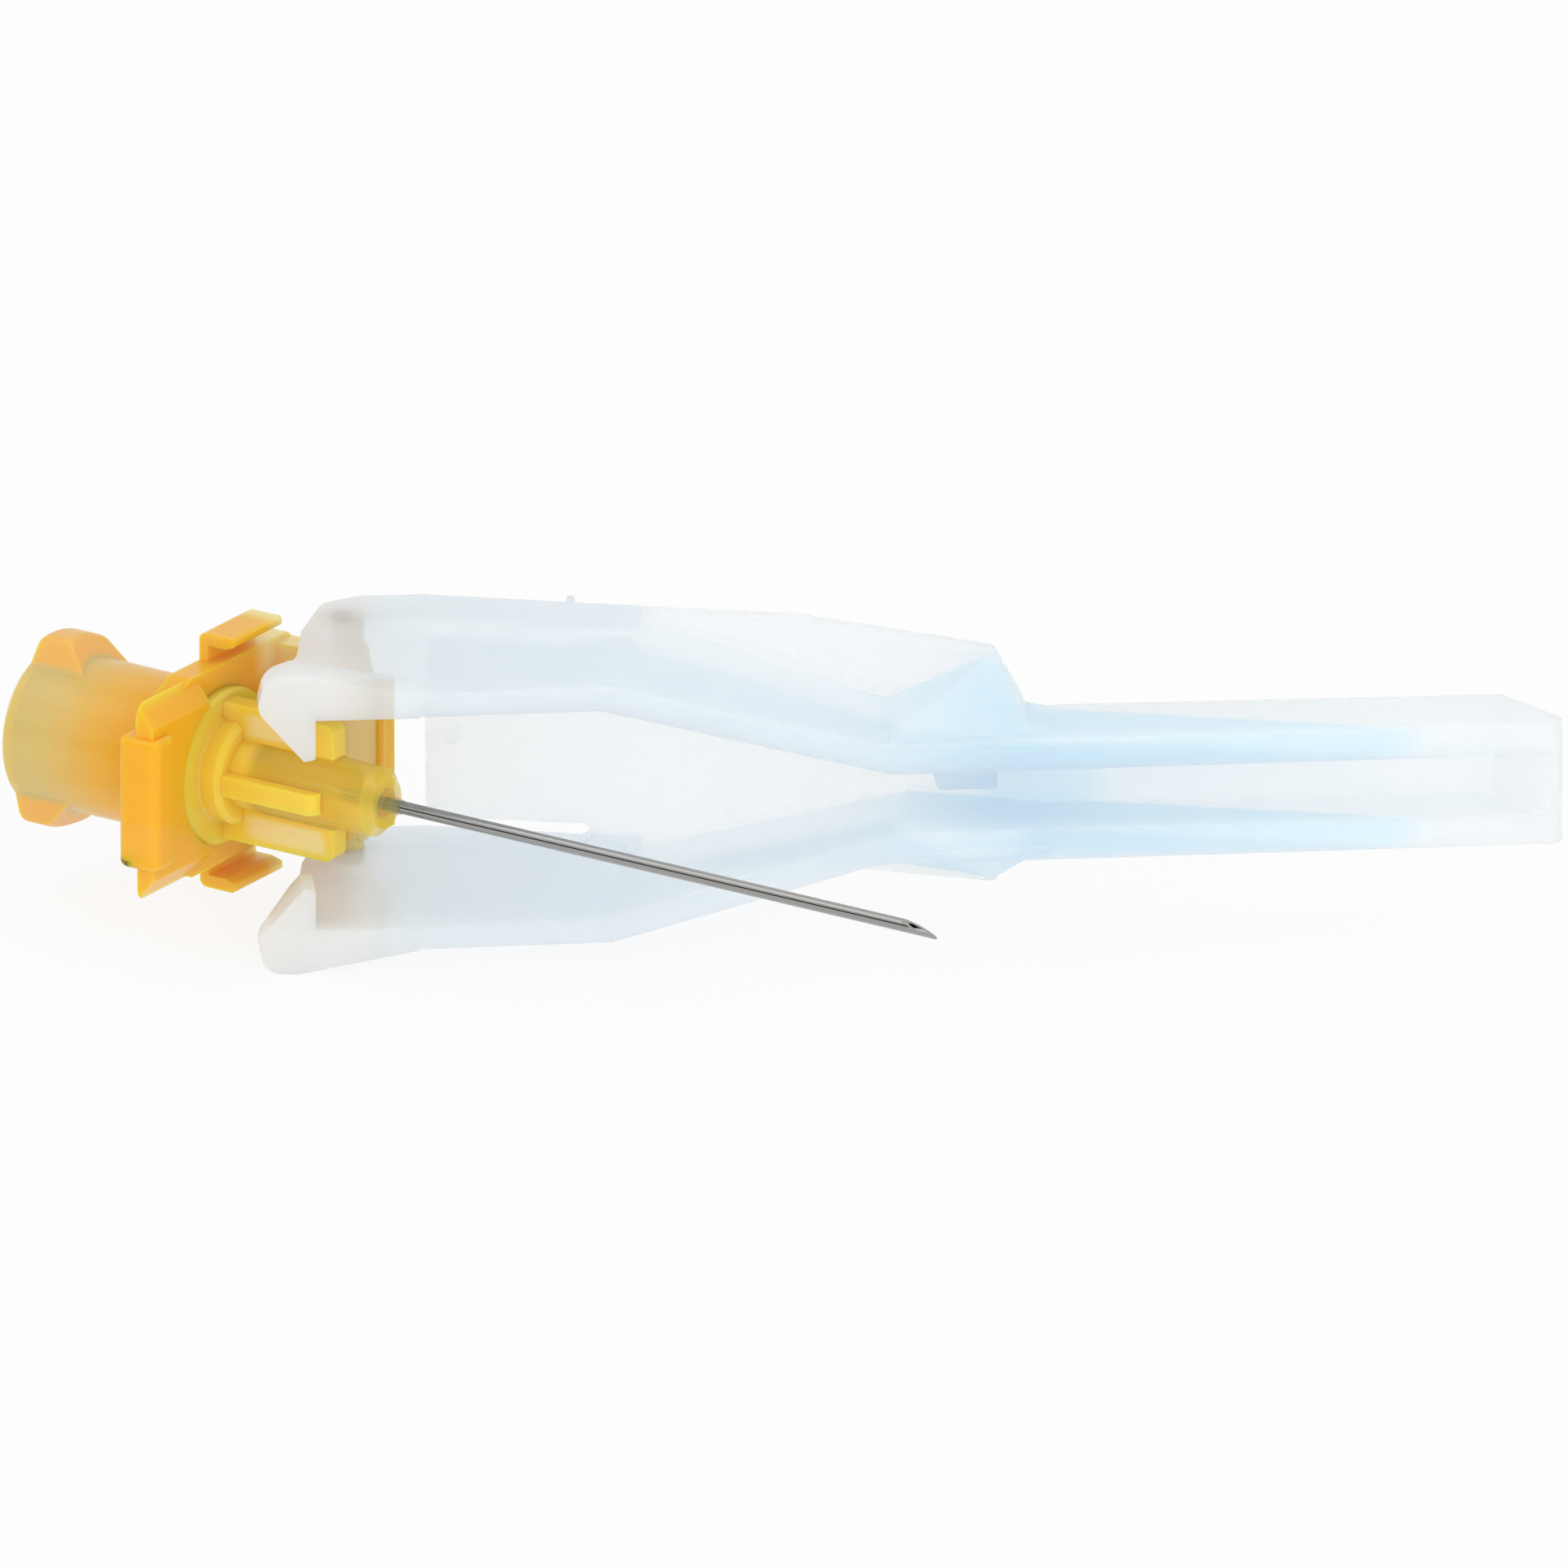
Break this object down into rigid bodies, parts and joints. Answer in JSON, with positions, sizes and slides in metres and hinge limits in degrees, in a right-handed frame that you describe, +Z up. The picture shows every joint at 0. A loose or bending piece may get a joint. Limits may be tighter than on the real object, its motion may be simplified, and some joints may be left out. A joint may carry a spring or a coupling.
{
  "type": "safety hypodermic needle",
  "caption": "Fine steel needle in a coloured Luer lock hub, with a clear swinging sheath hinged on a collar so that it can close over the needle after use.",
  "frame": {"origin": "centre of the Luer mouth, on the needle's axis", "axes": "+X along the needle to its point, +Y to the hinge side, +Z up along the hinge pins; the part lies on its side with the sheath part open"},
  "size_m": [0.0524, 0.0343, 0.0122],
  "materials": {
    "needle_steel": "polished stainless steel tube",
    "orange_plastic": "translucent orange moulded plastic, smooth",
    "clear_adhesive": "clear cured adhesive, glossy",
    "clear_plastic": "translucent bluish moulded plastic, smooth"
  },
  "bodies": {
    "hub": {"needle_tube": "needle_steel", "needle_hub": "orange_plastic", "needle_adhesive": "clear_adhesive", "hinge_collar": "orange_plastic"},
    "sheath": {"safety_sheath": "clear_plastic"}
  },
  "joints": [
    {"name": "sheath_hinge", "type": "hinge", "parent": "hub", "child": "sheath", "pos_m": [0.0108, 0.005, 0], "axis": [0, 0, 1], "range_deg": [-33, 100]}
  ]
}
